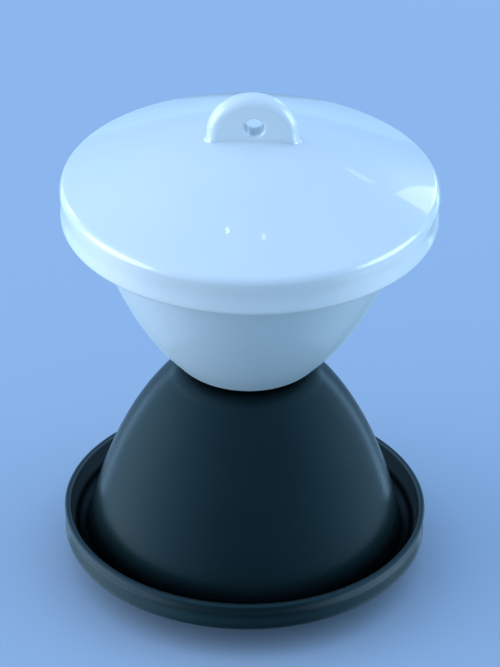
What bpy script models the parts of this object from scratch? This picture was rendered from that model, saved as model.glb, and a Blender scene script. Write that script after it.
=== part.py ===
"""Two lidded porcelain crucibles stacked base to base.

A white glazed crucible with its lug-handled lid stands on a black crucible of the same shape, which is
turned upside down in its own upturned lid. Metres, +Z up. The origin is the centre of the black lid's
flat foot, and the face of the white lid's lug looks along -Y.
"""

import math

import bmesh
import bpy

MM = 0.001

# ---------------------------------------------------------------- driving dimensions
TURNED_STEPS = 60                # segments round every crucible and lid
HOLE_STEPS = 20                  # segments round the lug's hole
SHARP_ANGLE = math.radians(35.0)
WELD = 1e-6                      # points and faces closer than this count as one

# where the crucibles stand
BLACK_CRUCIBLE_TOP = 36.49 * MM  # height of its upturned base above the black lid's foot
BASE_GAP = 0.3 * MM              # clearance between the two bases

# the crucibles: one outline, used upright in white and upside down in black
CRUCIBLE_HEIGHT = 30.55 * MM
CRUCIBLE_MOUTH_R = 24.83 * MM    # outside, where the wall meets the rounded lip
CRUCIBLE_BASE_FLAT_R = 7.9 * MM
CRUCIBLE_BASE_CORNER = 4.92 * MM
CRUCIBLE_CORNER_ANGLE = math.radians(53.7)   # slope at which the base corner runs into the wall
CRUCIBLE_MOUTH_FLARE = math.radians(12.3)    # lean of the wall at the mouth
CRUCIBLE_LOW_PULL = 1.07 * MM    # lengths of the wall curve's two control arms
CRUCIBLE_HIGH_PULL = 19.7 * MM
CRUCIBLE_LIP_HALF = 0.92 * MM    # half the wall's thickness at the mouth
CRUCIBLE_FLOOR = 2.8 * MM        # thickness at the foot
CRUCIBLE_FLOOR_FLAT = 0.62       # flat of the floor, as a share of the lowest inside point's radius
CRUCIBLE_INSIDE_START = 1.05     # the inside wall starts above this many floor thicknesses

# what the two lids share: a domed disc with a short skirt
DOME_SLOPE = math.radians(23.8)  # at the shoulder
DOME_RISE = 7.57 * MM            # shoulder to crown
SKIRT_PULL_IN = 0.25             # control point's place from the inner corner to the lip, across
SKIRT_PULL_UP = 0.95             # and as a share of the skirt's height
CORNER_PULL_INSET = 0.3 * MM     # the other control point, in from the inner corner

# the white lid, in place on the crucible
LID_R = 28.80 * MM
LID_LIP_R = 28.68 * MM           # outside of the skirt's lower edge
LID_WAIST_R = 28.60 * MM         # halfway up the skirt
LID_SKIRT = 5.22 * MM            # lower edge to the start of the shoulder's rounding
LID_SHOULDER = 1.44 * MM         # radius of that rounding
LID_LIP_HALF = 0.85 * MM
LID_WALL = 2.4 * MM
LID_CORNER_INSET = 0.5 * MM      # inner corner, in from the inside of the lip
LID_DOME_INSET = 2.0 * MM        # the dome's inside ends this far in from the inside of the lip
LID_DROP = 5.206 * MM            # how far the skirt hangs below the crucible's lip

# the lug on the white lid
LUG_HALF = 6.87 * MM             # half its width
LUG_TOP = 7.24 * MM              # above the crown
LUG_SPRING = 0.95 * MM           # above the crown, where the arch starts
LUG_FOOT_HALF = 7.2 * MM
LUG_SPREAD_START = 0.35 * MM     # above the crown, where the sides start to spread
LUG_SPREAD_END = 0.55 * MM       # below the crown, where they reach the foot's width
LUG_SINK = 1.1 * MM              # how deep its foot is luted into the lid
LUG_HALF_THICK = 1.75 * MM
LUG_ROUND = 1.65 * MM
LUG_ASIDE = 0.2 * MM             # towards +X
HOLE_R = 1.5 * MM
HOLE_FLARE = 0.4 * MM            # radius of the rounding at its mouths
HOLE_UP = 2.3 * MM               # above the crown
HOLE_ASIDE = 0.25 * MM           # from the lug's middle, towards +X
CUTTER_REACH = 1.2 * MM          # how far the cutter stands out of each face
CUTTER_STEP = 0.02 * MM          # its wide ends stop this far outside each face

# the black lid, lying mouth up
BLACK_LID_HEIGHT = 10.08 * MM
BLACK_LID_LIP_R = 28.66 * MM
BLACK_LID_R = 28.58 * MM
BLACK_LID_SKIRT = 3.95 * MM      # rim to the start of the shoulder's rounding
BLACK_LID_SHOULDER = 0.95 * MM
BLACK_LID_LIP_HALF = 0.5 * MM
BLACK_LID_WALL = 1.8 * MM
BLACK_LID_DOME_INSET = 1.6 * MM  # the dome's inside ends this far in from the inner corner
BLACK_LID_FLOOR_R = 15.5 * MM    # the inside starts to climb outside this radius
BLACK_LID_FLOOR_FLAT = 0.9       # the flat of the floor, as a share of that radius
BLACK_LID_FOOT_CLEAR = 0.3 * MM  # a last outline point lower than this gives way to the foot
BLACK_LID_WAIST_R = 28.22 * MM
BLACK_LID_WAIST_DROP = 2.3 * MM  # below the rim
WAIST_START_INSET = 0.16 * MM    # the point above the waist: in from the lip's radius,
WAIST_START_DROP = 0.6           # and its drop as a share of the waist's
WAIST_END_OUTSET = 0.18 * MM     # the point below the waist: out from the waist's radius,
WAIST_END_DROP = 1.35            # and its drop as a share of the waist's


# ---------------------------------------------------------------- scene helpers
def clear_scene():
    for obj in list(bpy.data.objects):
        bpy.data.objects.remove(obj, do_unlink=True)
    for coll in list(bpy.data.collections):
        bpy.data.collections.remove(coll)


def new_collection(name):
    coll = bpy.data.collections.new(name)
    bpy.context.scene.collection.children.link(coll)
    return coll


def glaze(name, colour, roughness, coat):
    mat = bpy.data.materials.new(name)
    mat.use_nodes = True
    shader = next(n for n in mat.node_tree.nodes if n.type == "BSDF_PRINCIPLED")
    shader.inputs["Base Color"].default_value = (*colour, 1.0)
    shader.inputs["Roughness"].default_value = roughness
    shader.inputs["Coat Weight"].default_value = coat
    mat.diffuse_color = (*colour, 1.0)
    return mat


def mark_helper(obj):
    obj.hide_render = True
    obj.display_type = "WIRE"


def boolean(obj, other, operation):
    mod = obj.modifiers.new(operation.lower(), "BOOLEAN")
    mod.object = other
    mod.operation = operation
    mod.solver = "EXACT"


def turned(name, profile, coll, steps=TURNED_STEPS):
    """A solid of revolution about Z, from a profile that starts and ends on the axis."""
    mesh = bpy.data.meshes.new(name)
    # an offset profile can overshoot the axis slightly, so its radius is held at zero there
    verts = [(max(radius, 0.0), 0.0, z) for radius, z in profile]
    mesh.from_pydata(verts, [(i, i + 1) for i in range(len(verts) - 1)], [])
    obj = bpy.data.objects.new(name, mesh)
    coll.objects.link(obj)
    screw = obj.modifiers.new("turn", "SCREW")
    screw.axis = "Z"
    screw.angle = 2.0 * math.pi
    screw.steps = steps
    screw.render_steps = steps
    screw.use_merge_vertices = True
    screw.merge_threshold = WELD
    screw.use_smooth_shade = True
    return obj


# ---------------------------------------------------------------- profile helpers, all in (radius, height)
def arc(centre_r, centre_z, radius, start, end, count):
    """Points round a circle, from one angle to another, both ends included."""
    angles = [start + (end - start) * i / (count - 1) for i in range(count)]
    return [(centre_r + radius * math.cos(a), centre_z + radius * math.sin(a)) for a in angles]


def bezier(start, start_control, end_control, end, count):
    """Points along a cubic curve, both ends included."""
    out = []
    for i in range(count):
        t = i / (count - 1)
        s = 1.0 - t
        out.append(
            tuple(
                s**3 * a + 3 * s * s * t * b + 3 * s * t * t * c + t**3 * d
                for a, b, c, d in zip(start, start_control, end_control, end)
            )
        )
    return out


def shifted(points, distances):
    """Each point moved by its distance to the right of the direction of travel."""
    out = []
    for i, ((radius, z), distance) in enumerate(zip(points, distances)):
        before_r, before_z = points[max(i - 1, 0)]
        after_r, after_z = points[min(i + 1, len(points) - 1)]
        run, rise = after_r - before_r, after_z - before_z
        length = math.hypot(run, rise)
        out.append((radius + rise / length * distance, z - run / length * distance))
    return out


def flipped(points, top):
    """A lid's points turned mouth up, with the rim at the given height."""
    return [(radius, top - z) for radius, z in points]


# ---------------------------------------------------------------- the crucible's outline
def crucible_base_corner():
    return arc(
        CRUCIBLE_BASE_FLAT_R,
        CRUCIBLE_BASE_CORNER,
        CRUCIBLE_BASE_CORNER,
        start=-math.pi / 2,
        end=CRUCIBLE_CORNER_ANGLE - math.pi / 2,
        count=6,
    )


def crucible_wall(start, mouth):
    """The outside of the wall, from the base corner up to the mouth."""
    start_control = (
        start[0] + CRUCIBLE_LOW_PULL * math.cos(CRUCIBLE_CORNER_ANGLE),
        start[1] + CRUCIBLE_LOW_PULL * math.sin(CRUCIBLE_CORNER_ANGLE),
    )
    mouth_control = (
        mouth[0] - CRUCIBLE_HIGH_PULL * math.sin(CRUCIBLE_MOUTH_FLARE),
        mouth[1] - CRUCIBLE_HIGH_PULL * math.cos(CRUCIBLE_MOUTH_FLARE),
    )
    return bezier(start, start_control, mouth_control, mouth, count=10)


def crucible_inside(body):
    """The outside moved inward, thickening towards the foot, without its floor and mouth points."""
    wall = 2 * CRUCIBLE_LIP_HALF
    distances = []
    for i in range(len(body)):
        t = i / (len(body) - 1)
        # the body runs upwards, so its inside is on the left
        distances.append(-(wall + (CRUCIBLE_FLOOR - wall) * (1 - t) ** 2))
    lowest = CRUCIBLE_FLOOR * CRUCIBLE_INSIDE_START
    return [point for point in shifted(body, distances) if point[1] > lowest][:-1]


def crucible_profile():
    """Upright, base at height 0: along the floor, up the inside, over the lip, down the outside."""
    half = CRUCIBLE_LIP_HALF
    flare = CRUCIBLE_MOUTH_FLARE
    lip_r = CRUCIBLE_MOUTH_R - half * math.cos(flare)
    lip_z = CRUCIBLE_HEIGHT - half
    corner = crucible_base_corner()
    wall = crucible_wall(corner[-1], (CRUCIBLE_MOUTH_R, lip_z - half * math.sin(flare)))
    outside = [(0.0, 0.0)] + corner + wall[1:]
    inside = crucible_inside(corner[1:] + wall[1:])
    floor = [(0.0, CRUCIBLE_FLOOR), (inside[0][0] * CRUCIBLE_FLOOR_FLAT, CRUCIBLE_FLOOR)]
    lip = arc(lip_r, lip_z, half, start=math.pi - flare, end=-flare, count=7)[:-1]
    return floor + inside + lip + outside[::-1]


# ---------------------------------------------------------------- the lids' outlines
def dome(radius, skirt, shoulder, count):
    """A lid's outer dome, from the crown out to where the shoulder's rounding starts."""
    edge_r = radius - shoulder * (1 - math.sin(DOME_SLOPE))
    edge_z = skirt + shoulder * math.cos(DOME_SLOPE)
    # the two terms together give the rise at the crown and the slope at the edge
    lean = edge_r * math.tan(DOME_SLOPE)
    square, quartic = 2 * DOME_RISE - lean / 2, lean / 2 - DOME_RISE
    out = []
    for i in range(count):
        u = i / (count - 1)
        out.append((edge_r * u, edge_z + square * (1 - u**2) + quartic * (1 - u**4)))
    return out


def skirt_inside(dome_end, lip_inside, corner_r, skirt):
    """From the inside of the lip, along the skirt, and round the inner corner to the dome."""
    end_r, end_z = dome_end
    pull_r = corner_r - CORNER_PULL_INSET
    return bezier(
        lip_inside,
        (corner_r + (lip_inside[0] - corner_r) * SKIRT_PULL_IN, skirt * SKIRT_PULL_UP),
        (pull_r, end_z - (pull_r - end_r) * math.tan(DOME_SLOPE)),
        dome_end,
        count=8,
    )[1:]


def white_lid_profile():
    """Down the outside from the crown, round the skirt's lower edge, and up the inside."""
    outer = dome(LID_R, LID_SKIRT, LID_SHOULDER, count=11)
    shoulder = arc(
        LID_R - LID_SHOULDER,
        LID_SKIRT,
        LID_SHOULDER,
        start=math.pi / 2 - DOME_SLOPE,
        end=0.0,
        count=5,
    )[1:]
    waist = [(LID_WAIST_R, LID_SKIRT * 0.5)]
    half = LID_LIP_HALF
    lip = arc(LID_LIP_R - half, half, half, start=0.0, end=-math.pi, count=7)
    inner_r = LID_LIP_R - 2 * half
    inner = [
        point
        for point in shifted(outer, [LID_WALL] * len(outer))
        if point[0] < inner_r - LID_DOME_INSET
    ]
    corner = skirt_inside(inner[-1], (inner_r, half), inner_r - LID_CORNER_INSET, LID_SKIRT)
    return outer + shoulder + waist + lip + corner + inner[-2::-1]


def black_lid_inside():
    """From the axis along the floor and up the inside to just below the rim."""
    top = BLACK_LID_HEIGHT
    outer = dome(BLACK_LID_R, BLACK_LID_SKIRT, BLACK_LID_SHOULDER, count=13)
    corner_r = BLACK_LID_R - BLACK_LID_WALL
    inner = [
        point
        for point in shifted(outer, [BLACK_LID_WALL] * len(outer))
        if BLACK_LID_FLOOR_R < point[0] < corner_r - BLACK_LID_DOME_INSET
    ]
    floor_z = top - inner[0][1]
    floor = [(0.0, floor_z), (BLACK_LID_FLOOR_R * BLACK_LID_FLOOR_FLAT, floor_z)]
    lip_inside = (BLACK_LID_LIP_R - 2 * BLACK_LID_LIP_HALF, BLACK_LID_LIP_HALF)
    wall = skirt_inside(inner[-1], lip_inside, corner_r, BLACK_LID_SKIRT)
    return floor + flipped(inner[:-1] + wall[::-1], top)


def black_lid_underside():
    """From the shoulder down the dome to the foot, where the crown is ground flat."""
    outer = dome(BLACK_LID_R, BLACK_LID_SKIRT, BLACK_LID_SHOULDER, count=13)
    below = flipped(outer[::-1], BLACK_LID_HEIGHT)[1:]
    cut = next(i for i, point in enumerate(below) if point[1] <= 0.0)
    (above_r, above_z), (under_r, under_z) = below[cut - 1], below[cut]
    foot_r = above_r + (under_r - above_r) * above_z / (above_z - under_z)
    sides = below[:cut]
    if sides[-1][1] < BLACK_LID_FOOT_CLEAR:
        sides = sides[:-1]
    return sides + [(foot_r, 0.0), (0.0, 0.0)]


def black_lid_profile():
    """Mouth up, foot at height 0: along the floor, up the inside, over the rim, under the dome."""
    top = BLACK_LID_HEIGHT
    half = BLACK_LID_LIP_HALF
    rim = arc(BLACK_LID_LIP_R - half, top - half, half, start=math.pi, end=0.0, count=7)
    waist = [
        (BLACK_LID_LIP_R - WAIST_START_INSET, top - BLACK_LID_WAIST_DROP * WAIST_START_DROP),
        (BLACK_LID_WAIST_R, top - BLACK_LID_WAIST_DROP),
        (BLACK_LID_WAIST_R + WAIST_END_OUTSET, top - BLACK_LID_WAIST_DROP * WAIST_END_DROP),
    ]
    shoulder = arc(
        BLACK_LID_R - BLACK_LID_SHOULDER,
        top - BLACK_LID_SKIRT,
        BLACK_LID_SHOULDER,
        start=0.0,
        end=DOME_SLOPE - math.pi / 2,
        count=4,
    )
    return black_lid_inside() + rim + waist + shoulder + black_lid_underside()


# ---------------------------------------------------------------- the lug
def lug_outline(crown):
    """The lug's face in (x, z): a half-ellipse arch on a foot that spreads a little."""
    spread = [
        (LUG_HALF, crown + LUG_SPREAD_START),
        (LUG_FOOT_HALF, crown - LUG_SPREAD_END),
        (LUG_FOOT_HALF, crown - LUG_SINK),
    ]
    arch = []
    for i in range(21):
        angle = math.pi * i / 20
        rise = math.sin(angle) * (LUG_TOP - LUG_SPRING)
        arch.append((math.cos(angle) * LUG_HALF, crown + LUG_SPRING + rise))
    points = spread[::-1] + arch + [(-x, z) for x, z in spread]
    return [(x + LUG_ASIDE, z) for x, z in points]


def lug_slab(crown, coll):
    """The lug's outline as a square-edged slab: a plain mesh, welded, in world coordinates."""
    curve = bpy.data.curves.new("lug_outline", "CURVE")
    curve.dimensions = "2D"
    curve.fill_mode = "BOTH"
    curve.extrude = LUG_HALF_THICK
    outline = lug_outline(crown)
    spline = curve.splines.new("POLY")
    spline.points.add(len(outline) - 1)
    for point, (x, z) in zip(spline.points, outline):
        point.co = (x, z, 0.0, 1.0)
    spline.use_cyclic_u = True
    shape = bpy.data.objects.new("lug_outline", curve)
    shape.rotation_euler = (math.pi / 2, 0.0, 0.0)
    coll.objects.link(shape)
    bpy.context.view_layer.update()

    graph = bpy.context.evaluated_depsgraph_get()
    mesh = bpy.data.meshes.new_from_object(shape.evaluated_get(graph))
    mesh.transform(shape.matrix_world)
    bpy.data.objects.remove(shape, do_unlink=True)
    bm = bmesh.new()
    bm.from_mesh(mesh)
    bmesh.ops.remove_doubles(bm, verts=bm.verts, dist=WELD)
    bmesh.ops.recalc_face_normals(bm, faces=bm.faces)
    bm.to_mesh(mesh)
    bm.free()
    return mesh


def is_lug_rim(edge, foot):
    """Whether an edge borders the front or back face, other than along the foot."""
    start, end = (vert.co for vert in edge.verts)
    return (
        all(abs(abs(co.y) - LUG_HALF_THICK) < WELD for co in (start, end))
        and abs(start.y - end.y) < WELD
        and max(start.z, end.z) > foot + 1e-5
        and len(edge.link_faces) == 2
    )


def lug_blank(crown, coll):
    mesh = lug_slab(crown, coll)
    blank = bpy.data.objects.new("lug_blank", mesh)
    coll.objects.link(blank)
    bm = bmesh.new()
    bm.from_mesh(mesh)
    # each flat face becomes one polygon, so that only its border is left to round
    bmesh.ops.dissolve_limit(bm, angle_limit=0.01, verts=bm.verts, edges=bm.edges)
    bmesh.ops.bevel(
        bm,
        geom=[edge for edge in bm.edges if is_lug_rim(edge, crown - LUG_SINK)],
        offset=LUG_ROUND,
        segments=4,
        profile=0.5,
        affect="EDGES",
        clamp_overlap=True,
    )
    bmesh.ops.remove_doubles(bm, verts=bm.verts, dist=WELD)
    bm.to_mesh(mesh)
    bm.free()
    mark_helper(blank)
    return blank


def hole_cutter(crown, coll):
    """A waisted rod along Y, so that the hole's mouths are rounded."""
    face = LUG_HALF_THICK
    wide = HOLE_R + HOLE_FLARE
    profile = [(0.0, face + CUTTER_REACH), (wide, face + CUTTER_REACH), (wide, face + CUTTER_STEP)]
    for i in range(1, 4):
        angle = math.pi / 2 * i / 3
        profile.append(
            (
                HOLE_R + HOLE_FLARE * (1 - math.sin(angle)),
                face - HOLE_FLARE * (1 - math.cos(angle)),
            )
        )
    profile += [(radius, -z) for radius, z in profile[::-1]]
    rod = turned("hole_cutter", profile, coll, steps=HOLE_STEPS)
    rod.rotation_euler = (math.pi / 2, 0.0, 0.0)
    rod.location = (LUG_ASIDE + HOLE_ASIDE, 0.0, crown + HOLE_UP)
    mark_helper(rod)
    return rod


# ---------------------------------------------------------------- the pieces
def black_lid(coll):
    lid = turned("black_lid", black_lid_profile(), coll)
    lid.data.materials.append(
        glaze("black_porcelain_glaze", colour=(0.018, 0.024, 0.028), roughness=0.28, coat=0.3)
    )


def black_crucible(coll):
    crucible = turned("black_crucible", crucible_profile(), coll)
    crucible.data.materials.append(
        glaze("black_porcelain_satin", colour=(0.022, 0.028, 0.034), roughness=0.38, coat=0.2)
    )
    crucible.rotation_euler = (math.pi, 0.0, 0.0)
    crucible.location.z = BLACK_CRUCIBLE_TOP


def white_crucible(foot, coll):
    crucible = turned("white_crucible", crucible_profile(), coll)
    crucible.data.materials.append(
        glaze("white_porcelain_satin", colour=(0.76, 0.83, 0.88), roughness=0.30, coat=0.2)
    )
    crucible.location.z = foot


def white_lid(lower_edge, coll, cutters):
    profile = white_lid_profile()
    lid = turned("white_lid", profile, coll)
    lid.data.materials.append(
        glaze("white_porcelain_glaze", colour=(0.80, 0.86, 0.90), roughness=0.12, coat=0.6)
    )
    lid.location.z = lower_edge
    # the profile starts at the crown
    crown = profile[0][1] + lid.location.z
    boolean(lid, lug_blank(crown, cutters), "UNION")
    boolean(lid, hole_cutter(crown, cutters), "DIFFERENCE")


def build():
    clear_scene()
    parts = new_collection("porcelain_crucible")
    cutters = new_collection("cutters")
    cutters.hide_render = True

    white_foot = BLACK_CRUCIBLE_TOP + BASE_GAP
    black_lid(parts)
    black_crucible(parts)
    white_crucible(white_foot, parts)
    white_lid(white_foot + CRUCIBLE_HEIGHT - LID_DROP, parts, cutters)

    # smooth shading, kept sharp only where a face really turns a corner
    for obj in parts.objects:
        obj.data.shade_smooth()
        obj.data.set_sharp_from_angle(angle=SHARP_ANGLE)


build()
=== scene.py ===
"""Looks for the porcelain crucible: a white lidded crucible standing on an upturned black one in its upturned lid.

All four pieces share the +Z axis and the black lid's foot is at height 0. The white lid's lug
is broad along X and bored along Y. The camera looks from the -Y side, with +X to its right.
Lengths in the shape sections are millimetres; Blender gets metres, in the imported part's frame.
"""

import math

import bpy
import numpy as np
from mathutils import Matrix, Quaternion, Vector

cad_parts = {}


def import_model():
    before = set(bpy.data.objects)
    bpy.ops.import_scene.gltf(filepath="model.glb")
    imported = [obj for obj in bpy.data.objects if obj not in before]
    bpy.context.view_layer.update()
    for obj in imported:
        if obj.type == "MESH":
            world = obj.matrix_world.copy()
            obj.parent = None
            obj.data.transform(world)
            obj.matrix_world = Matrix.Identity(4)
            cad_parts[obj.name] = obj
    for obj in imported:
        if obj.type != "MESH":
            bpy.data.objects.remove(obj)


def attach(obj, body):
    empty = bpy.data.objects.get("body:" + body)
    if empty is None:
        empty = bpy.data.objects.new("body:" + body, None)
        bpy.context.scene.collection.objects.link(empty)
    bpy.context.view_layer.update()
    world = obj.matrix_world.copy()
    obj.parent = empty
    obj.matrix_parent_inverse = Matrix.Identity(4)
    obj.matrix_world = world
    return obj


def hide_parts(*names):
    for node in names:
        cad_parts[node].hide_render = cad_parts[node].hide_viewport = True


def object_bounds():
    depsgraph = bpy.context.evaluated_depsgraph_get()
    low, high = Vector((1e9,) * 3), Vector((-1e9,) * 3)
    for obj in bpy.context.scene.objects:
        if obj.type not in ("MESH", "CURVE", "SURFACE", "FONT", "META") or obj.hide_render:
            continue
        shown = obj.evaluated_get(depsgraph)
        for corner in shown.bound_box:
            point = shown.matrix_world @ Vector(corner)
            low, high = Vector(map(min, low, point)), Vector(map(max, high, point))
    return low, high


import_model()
cad_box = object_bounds()
MM = 0.001

# ---------------------------------------------------------------- dimensions, in mm
# both crucibles: R is a radius from the axis, a pull is the length of a curve's handle
CRUCIBLE_HEIGHT = 30.55
CRUCIBLE_MOUTH_R = 24.83
CRUCIBLE_BASE_FLAT_R = 7.9
CRUCIBLE_BASE_CORNER = 4.92
CRUCIBLE_CORNER_ANGLE = math.radians(53.7)
CRUCIBLE_MOUTH_FLARE = math.radians(12.3)
CRUCIBLE_LOW_PULL = 1.07
CRUCIBLE_HIGH_PULL = 19.7
CRUCIBLE_LIP_HALF = 0.92
CRUCIBLE_FLOOR = 2.8

# both lids: slope of the dome at its edge, and its rise from edge to crown
DOME_SLOPE = math.radians(23.8)
DOME_RISE = 7.57
# handles of the curve inside the skirt: lip end (share of the way out, share of the height), dome end
SKIRT_PULL_OUT = 0.25
SKIRT_PULL_UP = 0.95
SKIRT_CORNER_IN = 0.3

# white lid, measured up from the skirt's lower edge
LID_R = 28.80
LID_LIP_R = 28.68
LID_WAIST_R = 28.60
LID_SKIRT = 5.22
LID_WAIST_Z = LID_SKIRT * 0.5
LID_SHOULDER = 1.44
LID_LIP_HALF = 0.85
LID_WALL = 2.4
LID_SKIRT_TOP_IN = 0.5
LID_DOME_IN = 2.0  # the underside of the dome stops this far inside the lip
LID_DROP = 5.206  # how far the lid's lower edge hangs below the crucible's mouth

# lug: half widths along X, heights above the lid's crown
LUG_HALF = 6.87
LUG_TOP = 7.24
LUG_SPRING = 0.95
LUG_FOOT_HALF = 7.2
LUG_FOOT_DROP = 0.75
LUG_SPRING_PULL_UP = 0.1
LUG_FOOT_PULL_IN = 0.15
LUG_FOOT_PULL_DROP = 0.2
LUG_HALF_THICK = 1.75
LUG_ROUND = 1.65
LUG_SINK = 1.1
LUG_ASIDE = 0.2
LUG_WELD = 0.3
HOLE_R = 1.5
HOLE_FLARE = 0.45
HOLE_UP = 2.3
HOLE_ASIDE = 0.25

BLACK_LID_HEIGHT = 10.08
BLACK_LID_LIP_R = 28.66
BLACK_LID_WAIST_R = 28.22
BLACK_LID_WAIST_DROP = 2.3
BLACK_LID_R = 28.58
BLACK_LID_SKIRT = 3.95
BLACK_LID_SHOULDER = 0.95
BLACK_LID_LIP_HALF = 0.5
BLACK_LID_WALL = 1.8
BLACK_LID_DOME_IN = 1.6
BLACK_LID_FLOOR_R = 15.5
BLACK_LID_FLAT_R = BLACK_LID_FLOOR_R * 0.97

# heights in the stack
BLACK_CRUCIBLE_TOP = 36.49
REST_GAP = 0.3
WHITE_FOOT = BLACK_CRUCIBLE_TOP + REST_GAP
LID_EDGE = WHITE_FOOT + CRUCIBLE_HEIGHT - LID_DROP

TURN_STEPS = 320

# sampling of the white lid
FIELD_STEP = 0.06
FIELD_CHUNK = 3000
GRID_STEP = 0.3
GRID_LOW = np.array([-29.55, -29.55, -0.75])
GRID_ACROSS = 198
GRID_CLEAR_ABOVE = 1.4
RELAX_ROUNDS = 4
RELAX_SHARE = 0.6


# ---------------------------------------------------------------- outlines, (radius, height) in mm
def arc(centre_r, centre_z, radius, start, end, count):
    a = np.linspace(start, end, count)
    return np.stack([centre_r + radius * np.cos(a), centre_z + radius * np.sin(a)], 1)


def bezier(*ends_and_handles, count):
    t = np.linspace(0, 1, count)[:, None]
    s = 1 - t
    p0, p1, p2, p3 = (np.array(p, float) for p in ends_and_handles)
    return s**3 * p0 + 3 * s * s * t * p1 + 3 * s * t * t * p2 + t**3 * p3


def ease(start, end, count):
    """A soft S between two points, running along the height at both ends."""
    t = np.linspace(0, 1, count)
    s = t * t * (3 - 2 * t)
    return np.stack([start[0] + (end[0] - start[0]) * s, start[1] + (end[1] - start[1]) * t], 1)


def level(start_r, end_r, z, count):
    r = np.linspace(start_r, end_r, count)
    return np.stack([r, np.full_like(r, z)], 1)


def offset(points, distance):
    """The line moved sideways, to the right of its direction of travel."""
    d = np.gradient(points, axis=0)
    d /= np.linalg.norm(d, axis=1)[:, None]
    return points + np.stack([d[:, 1], -d[:, 0]], 1) * np.asarray(distance).reshape(-1, 1)


def length_share(points):
    """How far along the line each point is, from 0 to 1."""
    s = np.concatenate([[0], np.cumsum(np.linalg.norm(np.diff(points, axis=0), axis=1))])
    return s / s[-1]


def chain(*pieces):
    """One polyline from several, with repeated points left out."""
    out = []
    for piece in pieces:
        for p in np.asarray(piece, float).reshape(-1, 2):
            if not out or math.dist(out[-1], p) > 1e-4:
                out.append(tuple(p))
    return np.array(out)


def crucible_profile():
    """Upright, base at height 0: from the axis in the bowl, up the inside, over the lip, down the outside."""
    lip, flare = CRUCIBLE_LIP_HALF, CRUCIBLE_MOUTH_FLARE
    angle, radius = CRUCIBLE_CORNER_ANGLE, CRUCIBLE_BASE_CORNER
    low, high = -math.pi / 2, angle - math.pi / 2
    corner = arc(CRUCIBLE_BASE_FLAT_R, radius, radius, low, high, 18)
    lip_r = CRUCIBLE_MOUTH_R - lip * math.cos(flare)
    lip_z = CRUCIBLE_HEIGHT - lip
    mouth = np.array([CRUCIBLE_MOUTH_R, lip_z - lip * math.sin(flare)])
    wall = bezier(
        corner[-1],
        corner[-1] + CRUCIBLE_LOW_PULL * np.array([math.cos(angle), math.sin(angle)]),
        mouth - CRUCIBLE_HIGH_PULL * np.array([math.sin(flare), math.cos(flare)]),
        mouth,
        count=64,
    )
    body = chain(corner, wall)
    # the wall thickens from the lip's width to the floor's
    thickening = (1 - length_share(body)) ** 2
    inside = offset(body, -(2 * lip + (CRUCIBLE_FLOOR - 2 * lip) * thickening))
    inside = inside[inside[:, 1] > CRUCIBLE_FLOOR * 1.001][:-1]
    floor = level(0, inside[0][0], CRUCIBLE_FLOOR, 8)[:-1]
    over = arc(lip_r, lip_z, lip, math.pi - flare, -flare, 21)
    foot = level(CRUCIBLE_BASE_FLAT_R, 0, 0.0, 7)
    return chain(floor, inside, over[:-1], body[::-1], foot)


def dome(edge_r, edge_z, count):
    """From the crown out to the edge, which it meets at DOME_SLOPE."""
    lean = edge_r * math.tan(DOME_SLOPE)
    square, quartic = 2 * DOME_RISE - lean / 2, lean / 2 - DOME_RISE
    u = np.linspace(0, 1, count)
    return np.stack([edge_r * u, edge_z + square * (1 - u**2) + quartic * (1 - u**4)], 1)


def dome_edge(radius, skirt, shoulder):
    return (
        radius - shoulder * (1 - math.sin(DOME_SLOPE)),
        skirt + shoulder * math.cos(DOME_SLOPE),
    )


LID_DOME_EDGE = dome_edge(LID_R, LID_SKIRT, LID_SHOULDER)
LID_CROWN = dome(*LID_DOME_EDGE, 2)[0][1]


def skirt_inside(dome_inside, lip_inside, top_r, skirt, count):
    """From the inside of the lip, up the skirt and round the corner to the underside of the dome."""
    r, z = dome_inside[-1]
    corner_r = top_r - SKIRT_CORNER_IN
    return bezier(
        lip_inside,
        (top_r + (lip_inside[0] - top_r) * SKIRT_PULL_OUT, skirt * SKIRT_PULL_UP),
        (corner_r, z - (corner_r - r) * math.tan(DOME_SLOPE)),
        (r, z),
        count=count,
    )


def white_lid_profile():
    """Down the outside from the crown, round the skirt's lower edge, and up the inside to the axis."""
    outer = dome(*LID_DOME_EDGE, 140)
    shoulder = arc(LID_R - LID_SHOULDER, LID_SKIRT, LID_SHOULDER, math.pi / 2 - DOME_SLOPE, 0, 40)
    half = LID_LIP_HALF
    skirt = chain(
        ease((LID_R, LID_SKIRT), (LID_WAIST_R, LID_WAIST_Z), 12),
        ease((LID_WAIST_R, LID_WAIST_Z), (LID_LIP_R, half), 9),
    )
    lip = arc(LID_LIP_R - half, half, half, 0, -math.pi, 33)
    inner_r = LID_LIP_R - 2 * half
    inner = offset(outer, LID_WALL)
    inner = inner[(inner[:, 0] < inner_r - LID_DOME_IN) & (inner[:, 0] >= 0)]
    corner = skirt_inside(inner, (inner_r, half), inner_r - LID_SKIRT_TOP_IN, LID_SKIRT, 24)
    return chain(outer, shoulder, skirt, lip, corner, inner[::-1], [(0.0, inner[0][1])])


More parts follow.
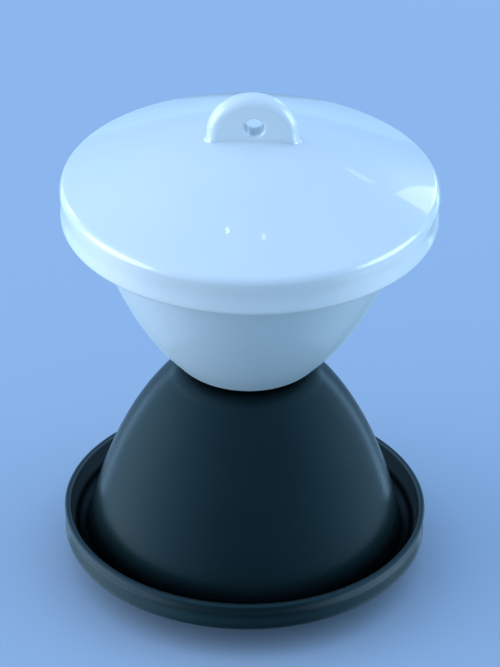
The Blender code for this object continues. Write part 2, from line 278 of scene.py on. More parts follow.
def black_lid_profile():
    """Mouth up, foot at height 0: along the floor, up the inside, over the rim, and back under the dome."""
    top = BLACK_LID_HEIGHT

    def upturned(points):
        return np.stack([points[:, 0], top - points[:, 1]], 1)

    under = dome(*dome_edge(BLACK_LID_R, BLACK_LID_SKIRT, BLACK_LID_SHOULDER), 160)
    half = BLACK_LID_LIP_HALF
    inner_r = BLACK_LID_R - BLACK_LID_WALL
    inner = offset(under, BLACK_LID_WALL)
    between = (inner[:, 0] > BLACK_LID_FLOOR_R) & (inner[:, 0] < inner_r - BLACK_LID_DOME_IN)
    inner = inner[between]
    climb = upturned(inner)
    floor = level(0, BLACK_LID_FLAT_R, climb[0][1], 9)
    lip_inside = (BLACK_LID_LIP_R - 2 * half, half)
    wall = upturned(skirt_inside(inner, lip_inside, inner_r, BLACK_LID_SKIRT, 28))[::-1]
    rim = arc(BLACK_LID_LIP_R - half, top - half, half, math.pi, 0, 25)
    waist = (BLACK_LID_WAIST_R, top - BLACK_LID_WAIST_DROP)
    skirt_z = top - BLACK_LID_SKIRT
    skirt = chain(
        ease((BLACK_LID_LIP_R, top - half), waist, 12),
        ease(waist, (BLACK_LID_R, skirt_z), 12),
    )
    shoulder_r = BLACK_LID_R - BLACK_LID_SHOULDER
    shoulder = arc(shoulder_r, skirt_z, BLACK_LID_SHOULDER, 0, DOME_SLOPE - math.pi / 2, 16)
    # the dome is cut off level where it would pass below the foot
    below = upturned(under)[::-1]
    last = int(np.argmax(below[:, 1] <= 0))
    (r0, z0), (r1, z1) = below[last - 1], below[last]
    foot_r = r0 + (r1 - r0) * z0 / (z0 - z1)
    foot = [(foot_r * share, 0.0) for share in (1, 0.66, 0.33, 0)]
    return chain(floor, climb, wall, rim, skirt, shoulder, below[:last], foot)


def lug_outline():
    """The lug seen along Y, as (x, height): down to its foot on both sides, arched over the top."""
    spread = bezier(
        (LUG_HALF, LID_CROWN + LUG_SPRING),
        (LUG_HALF, LID_CROWN + LUG_SPRING_PULL_UP),
        (LUG_FOOT_HALF - LUG_FOOT_PULL_IN, LID_CROWN - LUG_FOOT_PULL_DROP),
        (LUG_FOOT_HALF, LID_CROWN - LUG_FOOT_DROP),
        count=14,
    )
    spread = chain(spread, [(LUG_FOOT_HALF, LID_CROWN - LUG_SINK)])
    arch = arc(0, 0, 1, 0, math.pi, 181) * [LUG_HALF, LUG_TOP - LUG_SPRING]
    arch += [0, LID_CROWN + LUG_SPRING]
    return chain(spread[::-1], arch, spread * [-1, 1]) + [LUG_ASIDE, 0]


# ---------------------------------------------------------------- meshes
def mesh_object(name, points, faces, normals=None):
    """Points in mm, as a smooth-shaded mesh object."""
    mesh = bpy.data.meshes.new(name)
    mesh.from_pydata((points * MM).tolist(), [], faces)
    mesh.validate()
    mesh.shade_smooth()
    if normals is not None:
        mesh.normals_split_custom_set_from_vertices([tuple(n) for n in normals])
    obj = bpy.data.objects.new(name, mesh)
    bpy.context.scene.collection.objects.link(obj)
    return obj


def turned(name, profile, lift=0.0, flip=False):
    """A closed body of revolution. The profile starts and ends on the axis, clockwise about the body."""
    if flip:
        profile = (profile * [1, -1])[::-1]
    profile = profile + [0.0, lift]
    ring = profile[1:-1]
    n, m = len(ring), TURN_STEPS
    a = np.arange(m) * 2 * math.pi / m
    points = np.stack(
        [
            ring[:, None, 0] * np.cos(a)[None],
            ring[:, None, 0] * np.sin(a)[None],
            np.repeat(ring[:, 1:2], m, 1),
        ],
        -1,
    ).reshape(-1, 3)
    points = np.vstack([points, [[0, 0, profile[0][1]], [0, 0, profile[-1][1]]]])
    i, j = np.meshgrid(np.arange(n - 1), np.arange(m), indexing="ij")
    k = (j + 1) % m
    quads = np.stack([i * m + j, (i + 1) * m + j, (i + 1) * m + k, i * m + k], -1).reshape(-1, 4)
    j = np.arange(m)
    k = (j + 1) % m
    first = np.stack([np.full(m, n * m), j, k], -1)
    last = np.stack([np.full(m, n * m + 1), (n - 1) * m + k, (n - 1) * m + j], -1)
    return mesh_object(name, points, quads.tolist() + first.tolist() + last.tolist())


# ---------------------------------------------------------------- the white lid, from distances
class Field:
    """Signed distance to a closed outline, sampled on a fine square grid and read back by interpolation."""

    def __init__(self, outline, low, high, through_axis=False):
        self.low = np.array(low, float)
        xs = np.arange(low[0], high[0] + FIELD_STEP, FIELD_STEP)
        zs = np.arange(low[1], high[1] + FIELD_STEP, FIELD_STEP)
        gx, gz = np.meshgrid(xs, zs, indexing="ij")
        p = np.stack([gx.ravel(), gz.ravel()], 1)
        start, end = outline, np.roll(outline, -1, 0)
        a, b = start, end
        if through_axis:  # the closing run along the axis isn't a surface
            a, b = a[:-1], b[:-1]
        ab = b - a
        length = (ab**2).sum(1) + 1e-12
        value = np.empty(len(p))
        for s in range(0, len(p), FIELD_CHUNK):
            chunk = slice(s, s + FIELD_CHUNK)
            q = p[chunk, None]
            t = np.clip(((q - a) * ab).sum(-1) / length, 0, 1)
            d = q - a - t[..., None] * ab
            value[chunk] = np.sqrt((d**2).sum(-1).min(1))
            # a point is inside when the outline crosses its level an odd number of times beyond it
            z = q[..., 1]
            cross = (start[:, 1] > z) != (end[:, 1] > z)
            dz = end[:, 1] - start[:, 1]
            dz = np.where(np.abs(dz) < 1e-12, 1e-12, dz)
            x_at = start[:, 0] + (z - start[:, 1]) * (end[:, 0] - start[:, 0]) / dz
            odd = (cross & (q[..., 0] < x_at)).sum(1) % 2 == 1
            value[chunk][odd] *= -1
        self.value = value.reshape(gx.shape)

    def __call__(self, x, z):
        v = self.value
        u = np.clip((x - self.low[0]) / FIELD_STEP, 0, v.shape[0] - 1.001)
        w = np.clip((z - self.low[1]) / FIELD_STEP, 0, v.shape[1] - 1.001)
        i, j = u.astype(int), w.astype(int)
        fu, fw = u - i, w - j
        return (
            v[i, j] * (1 - fu) * (1 - fw)
            + v[i + 1, j] * fu * (1 - fw)
            + v[i, j + 1] * (1 - fu) * fw
            + v[i + 1, j + 1] * fu * fw
        )


def weld(a, b, r):
    """Union of two distances with a fillet of radius r."""
    return np.maximum(r, np.minimum(a, b)) - np.hypot(np.maximum(r - a, 0), np.maximum(r - b, 0))


def carve(a, b, r):
    """Intersection of two distances with the edge rounded to radius r."""
    return np.minimum(-r, np.maximum(a, b)) + np.hypot(np.maximum(r + a, 0), np.maximum(r + b, 0))


def white_lid_distance():
    """The distance function of the lid with its lug luted on and pierced."""
    crown = LID_CROWN
    turned_part = Field(white_lid_profile(), (0, -1.2), (30.6, crown + 3.0), through_axis=True)
    face = Field(
        lug_outline(),
        (LUG_ASIDE - 10, crown - 3.0),
        (LUG_ASIDE + 10, crown + LUG_TOP + 2.4),
    )

    def distance(p):
        x, y, z = p[..., 0], p[..., 1], p[..., 2]
        r = np.hypot(x, y)
        # above the sampled field the crown is near enough a level plane
        shell = np.where(z > crown + 2.9, z - crown, turned_part(r, z))
        across = face(x, z) + LUG_ROUND
        along = np.abs(y) - LUG_HALF_THICK + LUG_ROUND
        lug = (
            np.minimum(np.maximum(across, along), 0)
            + np.hypot(np.maximum(across, 0), np.maximum(along, 0))
            - LUG_ROUND
        )
        solid = weld(shell, lug, LUG_WELD)
        bore = np.hypot(x - LUG_ASIDE - HOLE_ASIDE, z - crown - HOLE_UP)
        # the bore stays clear of the dome away from the lug
        near = (np.abs(y) < 4.5) & (z > crown - 0.6)
        return np.where(near, carve(solid, HOLE_R - bore, HOLE_FLARE), solid)

    return distance


def gradient(distance, p, reach=0.05):
    g = np.empty_like(p)
    for k in range(3):
        d = np.zeros(3)
        d[k] = reach
        g[:, k] = (distance(p + d) - distance(p - d)) / (2 * reach)
    return g


def settle(distance, p, rounds):
    """Points drawn onto the zero surface by Newton steps."""
    for _ in range(rounds):
        g = gradient(distance, p)
        g2 = np.maximum((g**2).sum(1), 0.25)
        p = p - (distance(p) / g2)[:, None] * g
    return p


def surface_net(value, low, step):
    """Quads over the zero surface of a gridded field, one vertex for each cell it crosses, outward where the field grows."""
    inside = value < 0
    nx, ny, nz = value.shape
    corner = [(i, j, k) for i in (0, 1) for j in (0, 1) for k in (0, 1)]
    inner_corners = np.zeros((nx - 1, ny - 1, nz - 1), np.uint8)
    for i, j, k in corner:
        inner_corners += inside[i : nx - 1 + i, j : ny - 1 + j, k : nz - 1 + k]
    cells = np.argwhere((inner_corners > 0) & (inner_corners < 8))
    index = np.full(inner_corners.shape, -1, np.int64)
    index[tuple(cells.T)] = np.arange(len(cells))
    v = np.stack([value[cells[:, 0] + i, cells[:, 1] + j, cells[:, 2] + k] for i, j, k in corner], 1)

    # each vertex is the mean of the crossings on its cell's edges
    corner = np.array(corner, float)
    total = np.zeros((len(cells), 3))
    share = np.zeros(len(cells))
    for a in range(8):
        for b in range(a + 1, 8):
            if np.abs(corner[a] - corner[b]).sum() != 1:
                continue
            hit = (v[:, a] < 0) != (v[:, b] < 0)
            t = np.where(hit, v[:, a] / np.where(hit, v[:, a] - v[:, b], 1), 0)
            total += np.where(hit[:, None], corner[a] + t[:, None] * (corner[b] - corner[a]), 0)
            share += hit
    points = low + step * (cells + total / share[:, None])

    # each grid edge the surface crosses gives a quad through the four cells round it
    quads = []
    for axis in range(3):
        u, w = [k for k in range(3) if k != axis]
        at = np.argwhere(np.diff(inside, axis=axis))
        keep = (at[:, u] > 0) & (at[:, w] > 0)
        keep &= (at[:, u] < value.shape[u] - 1) & (at[:, w] < value.shape[w] - 1)
        at = at[keep]
        ring = []
        for du, dw in ((-1, -1), (0, -1), (0, 0), (-1, 0)):
            c = at.copy()
            c[:, u] += du
            c[:, w] += dw
            ring.append(index[tuple(c.T)])
        q = np.stack(ring, 1)
        starts_inside = inside[tuple(at.T)]
        outward = starts_inside if axis != 1 else ~starts_inside
        q[~outward] = q[~outward][:, ::-1]
        quads.append(q)
    return points, np.vstack(quads)


def white_lid(name):
    """The lid and its lug as one skin, with the normals of the distance field."""
    distance = white_lid_distance()
    tall = LID_CROWN + LUG_TOP + GRID_CLEAR_ABOVE - GRID_LOW[2]
    count = [GRID_ACROSS, GRID_ACROSS, int(tall / GRID_STEP) + 2]
    xs, ys, zs = (GRID_LOW[k] + GRID_STEP * np.arange(count[k]) for k in range(3))
    gx, gy = np.meshgrid(xs, ys, indexing="ij")
    value = np.empty(count, np.float32)
    for k, z in enumerate(zs):
        value[:, :, k] = distance(np.stack([gx, gy, np.full_like(gx, z)], -1))
    points, quads = surface_net(value, GRID_LOW, GRID_STEP)

    points = settle(distance, points, rounds=3)
    # even out the spacing: move toward the neighbours' mean, then back onto the surface
    edges = np.vstack([quads[:, [k, (k + 1) % 4]] for k in range(4)])
    for _ in range(RELAX_ROUNDS):
        total = np.zeros_like(points)
        share = np.zeros(len(points))
        for k in (0, 1):
            np.add.at(total, edges[:, k], points[edges[:, 1 - k]])
            np.add.at(share, edges[:, k], 1)
        mean = total / np.maximum(share, 1)[:, None]
        points = settle(distance, points + RELAX_SHARE * (mean - points), rounds=2)
    normals = gradient(distance, points, reach=0.08)
    normals /= np.linalg.norm(normals, axis=1)[:, None]
    points[:, 2] += LID_EDGE
    return mesh_object(name, points, quads.tolist(), normals)


# ---------------------------------------------------------------- node materials, in metres
class Nodes:
    """A short way to lay out a node tree. Any input may be a value or another node's output."""

    def __init__(self, tree, output):
        self.tree = tree
        tree.nodes.clear()
        self.out = self.add(output)

    def add(self, kind, inputs=None, **settings):
        node = self.tree.nodes.new("ShaderNode" + kind)
        for key, value in settings.items():
            setattr(node, key, value)
        for key, value in (inputs or {}).items():
            self.feed(node.inputs[key], value)
        return node

    def feed(self, socket, value):
        if isinstance(value, bpy.types.NodeSocket):
            self.tree.links.new(value, socket)
        elif socket.type == "RGBA":
            socket.default_value = (*value, 1.0)
        else:
            socket.default_value = value

    def place(self, output="Object"):
        return self.add("TexCoord").outputs[output]

    def split(self, where):
        node = self.add("SeparateXYZ", {"Vector": where})
        return [node.outputs[k] for k in "XYZ"]

    def noise(self, where, scale, detail=2.0, roughness=0.5, distortion=0.0):
        inputs = {"Vector": where, "Scale": scale, "Detail": detail}
        inputs.update({"Roughness": roughness, "Distortion": distortion})
        return self.add("TexNoise", inputs).outputs["Fac"]

    def stretch(self, where, scale):
        return self.add("Mapping", {"Vector": where, "Scale": scale}).outputs["Vector"]

    def ramp(self, value, over, to=(0.0, 1.0), smooth=True):
        """Carries the range `over` onto the range `to`, held at the ends."""
        inputs = {"Value": value, "From Min": over[0], "From Max": over[1]}
        inputs.update({"To Min": to[0], "To Max": to[1]})
        kind = "SMOOTHSTEP" if smooth else "LINEAR"
        return self.add("MapRange", inputs, interpolation_type=kind).outputs["Result"]

    def math(self, operation, first, *others):
        inputs = dict(enumerate((first, *(others or (0.0,)))))
        return self.add("Math", inputs, operation=operation).outputs[0]

    def hypot(self, a, b):
        squares = self.math("MULTIPLY", a, a), self.math("MULTIPLY", b, b)
        return self.math("SQRT", self.math("ADD", *squares))

    def mix(self, factor, a, b):
        node = self.add("Mix", {"Factor": factor}, data_type="RGBA")
        for socket, value in zip([s for s in node.inputs if s.type == "RGBA"], (a, b)):
            self.feed(socket, value)
        return next(s for s in node.outputs if s.type == "RGBA")

    def bump(self, height, distance, strength, normal=None):
        inputs = {"Height": height, "Distance": distance, "Strength": strength}
        if normal is not None:
            inputs["Normal"] = normal
        return self.add("Bump", inputs).outputs["Normal"]

    def finish(self, node):
        self.tree.links.new(node.outputs[0], self.out.inputs["Surface"])


def new_material(name):
    material = bpy.data.materials.new(name)
    material.use_nodes = True
    return material, Nodes(material.node_tree, "OutputMaterial")


def white_body(n, where, pale, bright):
    """A white body colour with faint clouding and iron specks."""
    cloud = n.noise(where, scale=55.0, detail=3.0, distortion=0.3)
    colour = n.mix(n.ramp(cloud, over=(0.2, 0.8)), pale, bright)
    speck = n.noise(where, scale=900.0, detail=1.0)
    return n.mix(n.ramp(speck, over=(0.80, 0.84), to=(0.0, 0.35)), colour, (0.42, 0.44, 0.44))


def uneven_gloss(n, where, gloss):
    patches = n.noise(where, scale=130.0, detail=3.0)
    return n.ramp(patches, over=(0.2, 0.8), to=(gloss, gloss + 0.02))


def finish_white(n, colour, rough, normal, coat):
    """A clear coat over a slightly translucent body."""
    inputs = {
        "Base Color": colour,
        "Roughness": n.math("ADD", rough, 0.22),
        "IOR": 1.5,
        "Specular IOR Level": 0.4,
        "Coat Weight": coat,
        "Coat Roughness": rough,
        "Coat IOR": 1.5,
        "Normal": normal,
        "Coat Normal": normal,
        "Subsurface Weight": 0.12,
        "Subsurface Radius": (0.9, 0.95, 1.0),
        "Subsurface Scale": 0.0012,
    }
    n.finish(n.add("BsdfPrincipled", inputs))


def white_lid_glaze(name):
    """Glassy white glaze with painted shade greying the bore, less glassy on the lug and the skirt."""
    material, n = new_material(name)
    where = n.place()
    x, y, z = n.split(where)
    crown = LID_EDGE + LID_CROWN
    skirt = LID_EDGE + LID_SKIRT
    colour = white_body(n, where, pale=(0.785, 0.84, 0.868), bright=(0.82, 0.868, 0.89))

    # painted shade: the inside of the bore through the lug is coloured grey, mottled
    bore_x = n.math("SUBTRACT", x, (LUG_ASIDE + HOLE_ASIDE) * MM)
    bore_z = n.math("SUBTRACT", z, (crown + HOLE_UP) * MM)
    near_axis = n.ramp(n.hypot(bore_x, bore_z), over=(0.00152, 0.00170), to=(1.0, 0.0))
    depth = n.ramp(n.math("ABSOLUTE", y), over=(0.0008, 0.0015), to=(1.0, 0.0))
    bore = n.math("MULTIPLY", near_axis, depth)
    mottle = n.ramp(n.noise(where, scale=1500.0), over=(0.2, 0.6), to=(0.6, 1.0))
    bore = n.math("MULTIPLY", bore, mottle)
    # the painted shade in the bore, mixed into the colour
    colour = n.mix(bore, colour, (0.62, 0.70, 0.74))

    wave = n.noise(where, scale=70.0, detail=1.0)
    fine = n.noise(where, scale=420.0)
    normal = n.bump(wave, distance=0.00012, strength=0.25)
    normal = n.bump(fine, distance=0.000006, strength=0.35, normal=normal)

    rough = uneven_gloss(n, where, gloss=0.025)
    lug = n.ramp(z, over=((crown + 0.6) * MM, (crown + 1.8) * MM), to=(0.0, 0.15))
    rough = n.math("ADD", rough, lug)
    low = n.ramp(z, over=((skirt - 1.0) * MM, (skirt + 0.1) * MM), to=(0.14, 0.0))
    rough = n.math("ADD", rough, low)
    rough = n.math("ADD", rough, n.math("MULTIPLY", bore, 0.3))
    finish_white(n, colour, rough, normal, coat=0.9)
    return material


def white_crucible_glaze(name):
    """Satin white glaze with level turning marks."""
    material, n = new_material(name)
    where = n.place()
    colour = white_body(n, where, pale=(0.65, 0.745, 0.81), bright=(0.675, 0.76, 0.82))
    lines = n.noise(n.stretch(where, (0.35, 0.35, 42.0)), scale=60.0, detail=3.0, roughness=0.65)
    bands = n.noise(n.stretch(where, (0.2, 0.2, 9.0)), scale=60.0)
    colour = n.mix(n.ramp(lines, over=(0.3, 0.7), to=(0.0, 0.35)), colour, (0.59, 0.695, 0.765))
    height = n.math("ADD", n.math("MULTIPLY", lines, 0.35), n.math("MULTIPLY", bands, 0.65))
    fine = n.noise(where, scale=420.0)
    normal = n.bump(height, distance=0.00008, strength=0.35)
    normal = n.bump(fine, distance=0.00002, strength=0.4, normal=normal)
    finish_white(n, colour, uneven_gloss(n, where, gloss=0.2), normal, coat=0.45)
    return material


def black_glaze(name, rough, gleam, dark, light, painted_wall_light=False):
    """Black glaze: nearly black with a cold green-blue cast, mottled sheen and a fine skin, with painted shade in
    the nooks. On the lid the inside of the wall, above the shaded trough, gets painted light: a lighter grey.
    """
    material, n = new_material(name)
    where = n.place()
    cloud = n.noise(where, scale=60.0, detail=4.0, roughness=0.55, distortion=0.4)
    colour = n.mix(n.ramp(cloud, over=(0.3, 0.7)), dark, light)
    if painted_wall_light:
        # painted light: the inside of the lid's wall, above where the shade falls in the trough, is coloured
        # lighter grey
        x, y, z = n.split(where)
        within = n.ramp(n.hypot(x, y), over=(0.0278, 0.0281), to=(1.0, 0.0))
        wall = n.math("MULTIPLY", within, n.ramp(z, over=(0.0066, 0.0078)))
        colour = n.mix(wall, colour, (0.108, 0.145, 0.150))
    speck = n.noise(where, scale=1100.0, detail=1.0)
    colour = n.mix(n.ramp(speck, over=(0.80, 0.86), to=(0.0, 0.5)), colour, (0.05, 0.06, 0.065))
    lines = n.noise(n.stretch(where, (0.4, 0.4, 30.0)), scale=60.0, detail=3.0, roughness=0.6)
    fine = n.noise(where, scale=650.0)
    normal = n.bump(lines, distance=0.00002, strength=0.12)
    normal = n.bump(fine, distance=0.000005, strength=0.3, normal=normal)
    patches = n.noise(where, scale=150.0, detail=4.0, roughness=0.6)
    # painted shade: in the nooks, where the light that gets in has already met black glaze, the colour is darkened
    # toward black and the sheen is cut
    open_sky = n.add("AmbientOcclusion", {"Distance": 0.014}, samples=8).outputs["AO"]
    open_sky = n.ramp(open_sky, over=(0.20, 0.78), to=(0.10, 1.0))
    if painted_wall_light:
        # the painted light on the inner wall is kept out of the painted shade
        open_sky = n.math("MAXIMUM", open_sky, wall)
    inputs = {
        "Base Color": n.mix(open_sky, (0.0004, 0.001, 0.0012), colour),
        "Roughness": n.ramp(patches, over=(0.3, 0.7), to=rough),
        "IOR": 1.5,
        "Specular IOR Level": n.math("MULTIPLY", open_sky, gleam),
        "Specular Tint": (0.42, 0.81, 1.0),
        "Normal": normal,
    }
    n.finish(n.add("BsdfPrincipled", inputs))
    return material


def floor_paint(name):
    material, n = new_material(name)
    cloud = n.ramp(n.noise(n.place(), scale=3.0), over=(0.3, 0.7))
    colour = n.mix(cloud, (0.43, 0.54, 0.68), (0.45, 0.56, 0.70))
    inputs = {"Base Color": colour, "Roughness": 0.75, "Specular IOR Level": 0.15}
    n.finish(n.add("BsdfPrincipled", inputs))
    return material


# ---------------------------------------------------------------- the pieces
crucible = crucible_profile()
black_lid_piece = turned("black_lid_glazed", black_lid_profile())
black_crucible_piece = turned("black_crucible_glazed", crucible, BLACK_CRUCIBLE_TOP, flip=True)
white_crucible_piece = turned("white_crucible_glazed", crucible, WHITE_FOOT)
white_lid_piece = white_lid("white_lid_glazed")

lid_white = white_lid_glaze("white_lid_glaze")
body_white = white_crucible_glaze("white_crucible_glaze")
body_black = black_glaze(
    "black_crucible_glaze",
    rough=(0.26, 0.31),
    gleam=0.20,
    dark=(0.0064, 0.0155, 0.0168),
    light=(0.0084, 0.0190, 0.0205),
)
lid_black = black_glaze(
    "black_lid_glaze",
    rough=(0.28, 0.34),
    gleam=0.40,
    dark=(0.006, 0.0150, 0.0165),
    light=(0.008, 0.0180, 0.0198),
    # the lid's inner wall gets painted light
    painted_wall_light=True,
)

for piece, node, material, slot in (
    (black_lid_piece, "black_lid", lid_black, "black_porcelain_glaze"),
    (black_crucible_piece, "black_crucible", body_black, "black_porcelain_satin"),
    (white_crucible_piece, "white_crucible", body_white, "white_porcelain_satin"),
    (white_lid_piece, "white_lid", lid_white, "white_porcelain_glaze"),
):
    piece.data.materials.append(material)
    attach(piece, node)
    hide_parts(node)

# ---------------------------------------------------------------- floor, in metres
FLOOR_Z = cad_box[0][2]
FLOOR_R = 4.0
UNDER_LID_R = 0.030
UNDER_LID_DROP = 0.00005


def disc(name, radius, z, material):
    mesh = bpy.data.meshes.new(name)
    a = [2 * math.pi * i / 96 for i in range(96)]
    points = [(radius * math.cos(t), radius * math.sin(t), z) for t in a]
    mesh.from_pydata(points, [], [list(range(96))])
    mesh.materials.append(material)
    obj = bpy.data.objects.new(name, mesh)
    bpy.context.scene.collection.objects.link(obj)
    return obj


def floor():
    paint = floor_paint("floor_paint")
    # the floor takes shadows but, like clear glass over the lower lights, neither blocks nor colours their light
    obj = disc("floor", FLOOR_R, FLOOR_Z, paint)
    obj.visible_diffuse = obj.visible_glossy = obj.visible_shadow = False
    # under the black lid, just below the floor, it does block them, so the lid's underside stays dark
    disc("floor_under_lid", UNDER_LID_R, FLOOR_Z - UNDER_LID_DROP, paint)


# ---------------------------------------------------------------- lights
# azimuths are measured from the camera's side, positive to its right; all angles are in degrees
COOL = (0.52, 0.76, 1.0)
BRIGHT = (0.80, 0.93, 1.0)
FILL = (0.58, 0.68, 1.0)
BACKDROP = (0.265, 0.465, 0.855)
GLINT_DISTANCE = 6.0
GLINT_TARGET = Vector((0, 0, 0.07))

# name, azimuth, elevation, width, height, radiance, other settings
GLINTS = (
    ("lamp_left", -162, 72, 1.0, 1.6, 6.2, {}),
    ("lamp_right", 167, 74, 1.2, 1.2, 3.9, {}),
    ("window_left", -80, 8, 52, 44, 3.5, {}),
    ("window_right", 86, 8, 46, 36, 3.8, {}),
    ("window_rear_right", 148.2, 18.5, 10.5, 24.0, 2.2, {"turn": 22.0, "shape": "RECTANGLE"}),
    ("window_rear_right_core", 148.4, 18.5, 9.5, 12.0, 1.5, {"turn": 22.0}),
    ("window_rear_right_top", 153.4, 33.3, 4.2, 2.2, 1.6, {"shape": "RECTANGLE"}),
    ("window_rear_left", -131, 16, 11, 30, 2.6, {}),
    ("horizon_rear", 180, -7, 70, 18, 0.24, {"colour": COOL}),
    # a soft fill from low on the right that lifts the lid's skirt as well as showing in it
    ("fill_right", 75, -22, 50, 40, 0.6, {"colour": FILL, "diffuse": True}),
)
# the dome's own light, by the sine of the elevation
DOME = (
    (-1.0, (0.015, 0.045, 0.09)),
    (-0.4, (0.025, 0.065, 0.13)),
    (-0.2, (0.045, 0.11, 0.20)),
    (0.0, (0.13, 0.25, 0.42)),
    (0.2, (0.18, 0.32, 0.52)),
    (0.5, (0.30, 0.45, 0.70)),
    (1.0, (0.49, 0.70, 1.10)),
)
# what the banks add round the horizon, by azimuth
AROUND = (
    (-180, (0.16, 0.28, 0.46)),
    (-162, (0.14, 0.24, 0.40)),
    (-150, (0.16, 0.30, 0.46)),
    (-132, (0.38, 0.72, 1.05)),
    (-115, (0.95, 1.40, 1.75)),
    (-100, (1.60, 1.95, 2.30)),
    (-80, (1.65, 1.95, 2.30)),
    (-60, (1.10, 1.35, 1.65)),
    (-40, (0.55, 0.75, 0.90)),
    (-20, (0.15, 0.25, 0.28)),
    (0, (0.00, 0.00, 0.00)),
    (20, (0.00, 0.00, 0.00)),
    (40, (0.12, 0.25, 0.30)),
    (60, (0.40, 0.65, 0.75)),
    (80, (0.76, 1.10, 1.36)),
    (100, (0.82, 1.20, 1.50)),
    (120, (0.50, 0.82, 1.06)),
    (132, (0.22, 0.45, 0.65)),
    (150, (0.08, 0.16, 0.28)),
    (165, (0.12, 0.22, 0.36)),
    (180, (0.16, 0.28, 0.46)),
)
# how much of that is left at each elevation
HEIGHTS = (
    (-90, 0.04), (-60, 0.16), (-32, 0.52), (-15, 0.95), (5, 1.0),
    (15, 0.90), (26, 0.65), (40, 0.45), (60, 0.25), (90, 0.10),
)
# colour ramps hold values up to 1, so brighter tables are divided by these and multiplied back
DOME_SCALE = 1.5
AROUND_SCALE = 4.0
# brighter windows: azimuth, its change for each degree of elevation, elevation,
# half width, half height, softness across, softness along, radiance
WINDOWS = (
    (142.5, 0.0, -11, 2.6, 19, 1.4, 4, (1.3, 2.1, 2.9)),
    (-142, 0.0, -10, 2.8, 18, 1.6, 4, (1.0, 1.5, 2.0)),
    (180, 0.0, -34, 24, 9, 8, 4, (0.25, 0.42, 0.62)),
    (104, 0.0, -48, 40, 20, 14, 9, (0.46, 0.61, 0.80)),
    (-112, 0.0, -48, 40, 20, 14, 9, (0.38, 0.52, 0.72)),
)


def glint(
    name, azimuth, elevation, wide, tall, radiance,
    receivers, colour=BRIGHT, turn=0.0, shape="ELLIPSE", diffuse=False,
):
    """A distant light for the receivers alone; unless diffuse, it shows only as a reflection."""
    light = bpy.data.lights.new(name, "AREA")
    light.shape = shape
    light.size = 2 * GLINT_DISTANCE * math.tan(math.radians(wide / 2))
    light.size_y = 2 * GLINT_DISTANCE * math.tan(math.radians(tall / 2))
    light.energy = radiance * math.pi * light.size * light.size_y
    light.color = colour
    obj = bpy.data.objects.new(name, light)
    a, e = math.radians(azimuth), math.radians(elevation)
    away = Vector((math.sin(a) * math.cos(e), -math.cos(a) * math.cos(e), math.sin(e)))
    obj.location = GLINT_TARGET + away * GLINT_DISTANCE
    aim = (-away).to_track_quat("-Z", "Y")
    obj.rotation_euler = (aim @ Quaternion((0, 0, 1), math.radians(turn))).to_euler()
    obj.visible_camera = False
    obj.visible_diffuse = diffuse
    obj.light_linking.receiver_collection = receivers
    bpy.context.scene.collection.objects.link(obj)


def table_ramp(n, value, over, stops, scale=1.0):
    """A table of (place, colour or grey) read at `value`, divided by `scale`."""
    low, high = over
    node = n.add("ValToRGB", {"Fac": n.ramp(value, over, smooth=False)})
    elements = node.color_ramp.elements
    for i, (at, colour) in enumerate(stops):
        where = (at - low) / (high - low)
        stop = elements[i] if i < 2 else elements.new(where)
        stop.position = where
        colour = colour if isinstance(colour, tuple) else (colour,) * 3
        stop.color = (*[v / scale for v in colour], 1)
    return node.outputs["Color"]


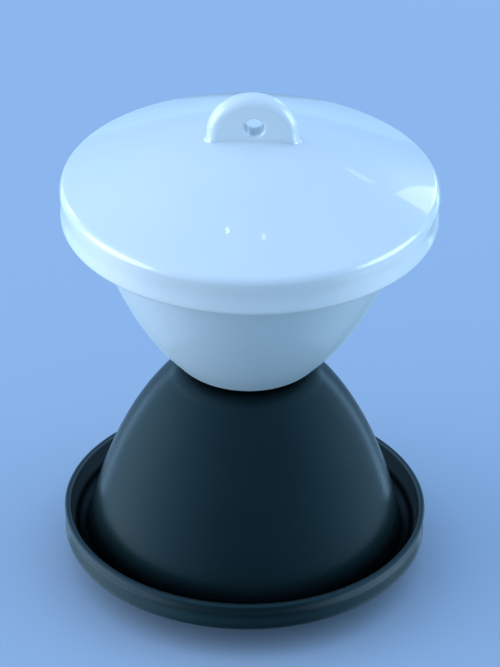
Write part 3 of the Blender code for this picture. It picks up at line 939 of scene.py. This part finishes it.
def world():
    """A smooth studio dome with a few brighter windows; the camera sees a plain pale backdrop in its place."""
    studio = bpy.data.worlds.new("studio")
    bpy.context.scene.world = studio
    studio.use_nodes = True
    n = Nodes(studio.node_tree, "OutputWorld")
    x, y, z = n.split(n.place("Generated"))
    azimuth = n.math("DEGREES", n.math("ARCTAN2", x, n.math("MULTIPLY", y, -1.0)))
    elevation = n.math("DEGREES", n.math("ARCSINE", z))

    def scaled(colour, by):
        return n.add("VectorMath", {0: colour, "Scale": by}, operation="SCALE").outputs[0]

    def added(a, b):
        return n.add("VectorMath", {0: a, 1: b}, operation="ADD").outputs[0]

    def soft_band(value, half, soft):
        edges = (half - soft, half + soft)
        return n.ramp(n.math("ABSOLUTE", value), over=edges, to=(1.0, 0.0))

    share = n.math("MULTIPLY", table_ramp(n, elevation, (-90.0, 90.0), HEIGHTS), AROUND_SCALE)
    total = scaled(table_ramp(n, azimuth, (-180.0, 180.0), AROUND, AROUND_SCALE), share)
    dome_colour = table_ramp(n, z, (-1.0, 1.0), DOME, DOME_SCALE)
    total = added(total, scaled(dome_colour, DOME_SCALE))
    for at, lean, height, wide, tall, soft_across, soft_along, radiance in WINDOWS:
        up = n.math("SUBTRACT", elevation, height)
        off = n.math("SUBTRACT", n.math("SUBTRACT", azimuth, at), n.math("MULTIPLY", up, lean))
        across = soft_band(n.math("WRAP", off, 180.0, -180.0), wide, soft_across)
        along = soft_band(up, tall, soft_along)
        total = added(total, scaled(radiance, n.math("MULTIPLY", across, along)))
    dome_light = n.add("Background", {"Color": total, "Strength": 1.0}).outputs[0]
    backdrop = n.add("Background", {"Color": BACKDROP, "Strength": 1.0}).outputs[0]
    seen = n.add("LightPath").outputs["Is Camera Ray"]
    n.finish(n.add("MixShader", {"Fac": seen, 1: dome_light, 2: backdrop}))


# ---------------------------------------------------------------- camera, in metres and radians
CAMERA_TARGET = Vector((0.0, 0.0, 0.03627))
CAMERA_DISTANCE = 0.57923
CAMERA_ELEVATION = 0.56841
CAMERA_ROLL = 0.01684
CAMERA_YAW = 0.00064
CAMERA_PITCH = 0.00745
CAMERA_LENS = 200.9588  # mm, on a sensor 36 mm wide


def camera():
    """The viewpoint: aimed at the target from the -Y side, then pitched up, turned right and rolled."""
    e, d = CAMERA_ELEVATION, CAMERA_DISTANCE
    roll, yaw, pitch = CAMERA_ROLL, CAMERA_YAW, CAMERA_PITCH
    at = Vector((0, -d * math.cos(e), d * math.sin(e)))
    ahead = -at.normalized()
    right = Vector((1, 0, 0))
    up = right.cross(ahead)
    ahead = ahead * math.cos(pitch) + up * math.sin(pitch)
    up = right.cross(ahead)
    ahead = ahead * math.cos(yaw) + right * math.sin(yaw)
    right = ahead.cross(up)
    right, up = (
        right * math.cos(roll) + up * math.sin(roll),
        -right * math.sin(roll) + up * math.cos(roll),
    )
    data = bpy.data.cameras.new("camera")
    data.lens = CAMERA_LENS
    data.sensor_width = 36
    data.clip_start, data.clip_end = 0.02, 20
    obj = bpy.data.objects.new("camera", data)
    at = at + CAMERA_TARGET
    obj.matrix_world = Matrix(
        [[right[i], up[i], -ahead[i], at[i]] for i in range(3)] + [[0, 0, 0, 1]]
    )
    bpy.context.scene.collection.objects.link(obj)
    bpy.context.scene.camera = obj


glassy = bpy.data.collections.new("glassy_glaze")
glassy.objects.link(white_lid_piece)
floor()
world()
for *values, settings in GLINTS:
    glint(*values, receivers=glassy, **settings)
camera()
view = bpy.context.scene.view_settings
view.view_transform = "Standard"
view.look = "None"
